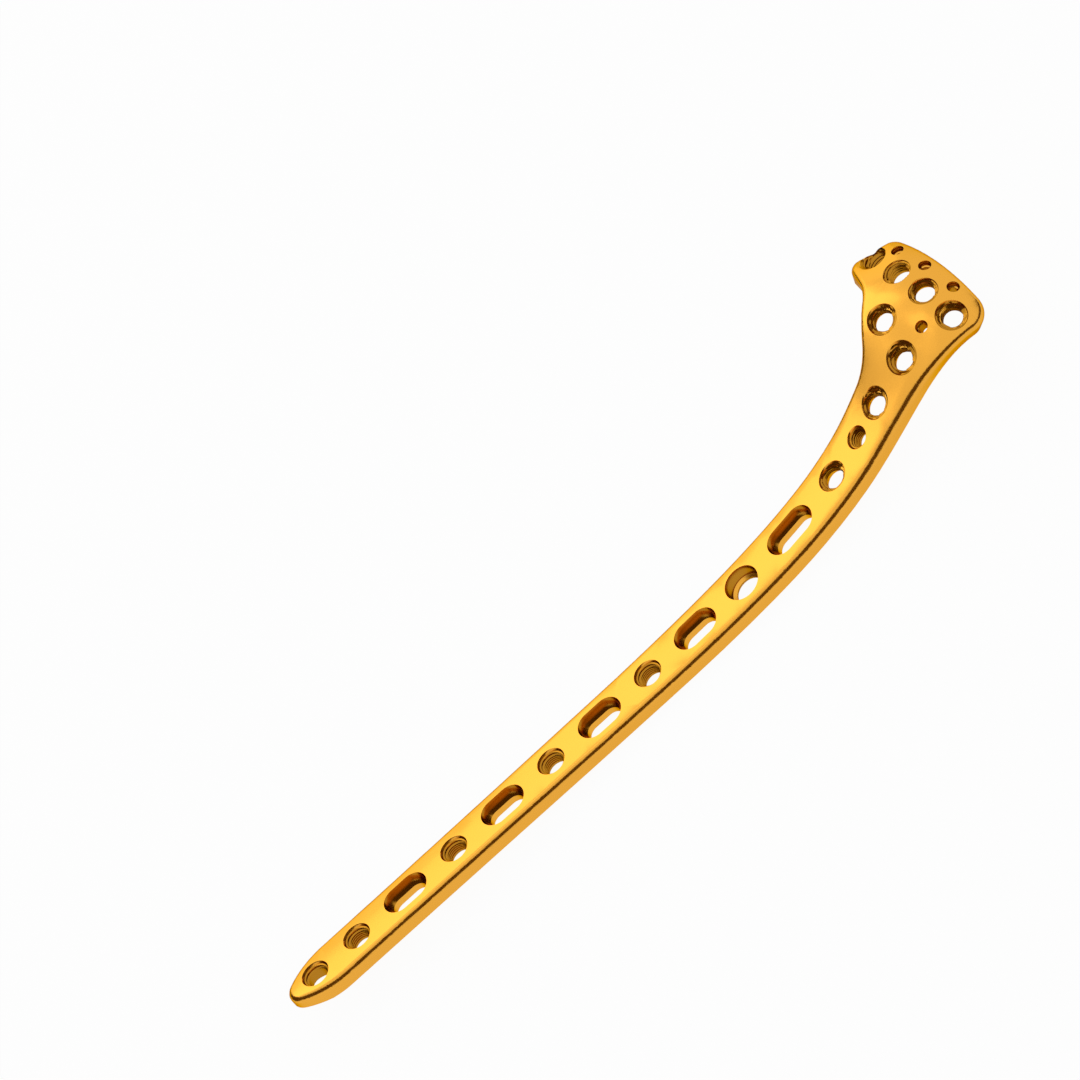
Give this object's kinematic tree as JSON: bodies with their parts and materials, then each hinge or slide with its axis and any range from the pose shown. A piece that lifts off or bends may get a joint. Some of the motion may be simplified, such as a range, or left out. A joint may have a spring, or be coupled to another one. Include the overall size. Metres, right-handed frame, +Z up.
{
  "type": "orthopedic bone plate",
  "caption": "Contoured bone plate with a long narrow shaft of threaded holes and slots and a twisted, widened head with a side arm.",
  "frame": {"origin": "middle of the bounding box, at the height the plate rests on", "axes": "+X along the shaft from the rounded tip to the head, +Y towards the head's side arm, +Z up out of the outer face; the plate lies on its bone side"},
  "size_m": [0.1956, 0.0372, 0.018],
  "materials": {
    "titanium": "satin"
  },
  "bodies": {
    "root": {"bone_plate": "titanium"}
  },
  "joints": []
}
